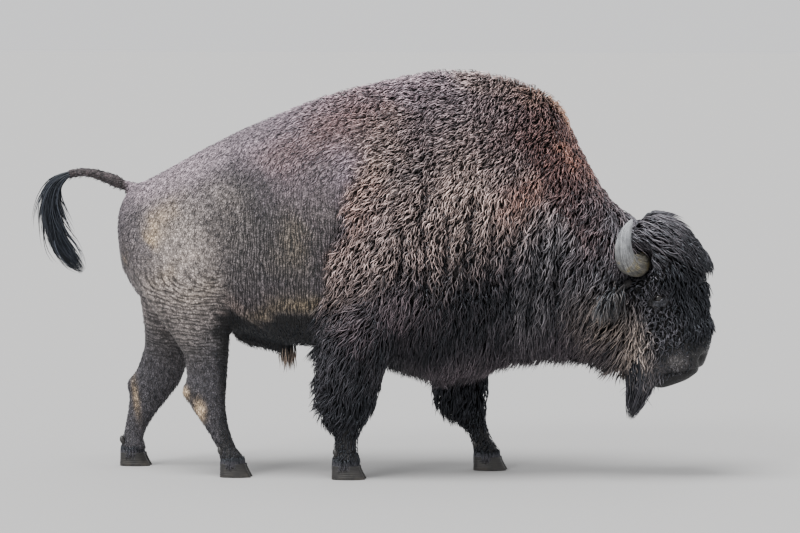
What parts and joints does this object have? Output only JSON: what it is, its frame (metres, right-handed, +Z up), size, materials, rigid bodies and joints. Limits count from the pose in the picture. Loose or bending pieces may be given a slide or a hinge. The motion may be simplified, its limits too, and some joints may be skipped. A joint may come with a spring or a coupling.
{
  "type": "american bison",
  "caption": "Life-size still model of an American bison bull walking with its head held low, tail lifted, with a woolly cape, crown, beard and curved horns.",
  "frame": {"origin": "middle of the outline's box on the floor, below the soles", "axes": "+X forwards, towards the head, +Y to the animal's left, +Z up"},
  "size_m": [3.0769, 0.8, 1.848],
  "materials": {
    "hide": "short dense coat over hide, grey-brown with tan patches",
    "wool": "long wavy wool and hair, dark brown to black with rust and tan tips",
    "horn": "worn grey horn with rings at the base",
    "eye": "dark brown, wet",
    "hoof": "dark horn, dull"
  },
  "bodies": {
    "root": {"trunk": "hide", "hindleg_right_upper": "hide", "hindleg_right_lower": "hide", "hindleg_left_upper": "hide", "hindleg_left_lower": "hide", "foreleg_right_lower": "hide", "foreleg_left_lower": "hide", "tail_dock": "hide", "scrotum": "hide", "ear_right": "hide", "ear_left": "hide", "head": "wool", "neck": "wool", "beard": "wool", "foreleg_right_upper": "wool", "foreleg_left_upper": "wool", "tail_switch": "wool", "sheath": "wool", "horn_right": "horn", "horn_left": "horn", "eye_right": "eye", "eye_left": "eye", "hoof_fore_right_right": "hoof", "hoof_fore_right_left": "hoof", "hoof_fore_left_right": "hoof", "hoof_fore_left_left": "hoof", "hoof_hind_right_right": "hoof", "hoof_hind_right_left": "hoof", "hoof_hind_left_right": "hoof", "hoof_hind_left_left": "hoof", "dewclaw_fore_right_right": "hoof", "dewclaw_fore_right_left": "hoof", "dewclaw_fore_left_right": "hoof", "dewclaw_fore_left_left": "hoof", "dewclaw_hind_right_right": "hoof", "dewclaw_hind_right_left": "hoof", "dewclaw_hind_left_right": "hoof", "dewclaw_hind_left_left": "hoof"}
  },
  "joints": []
}
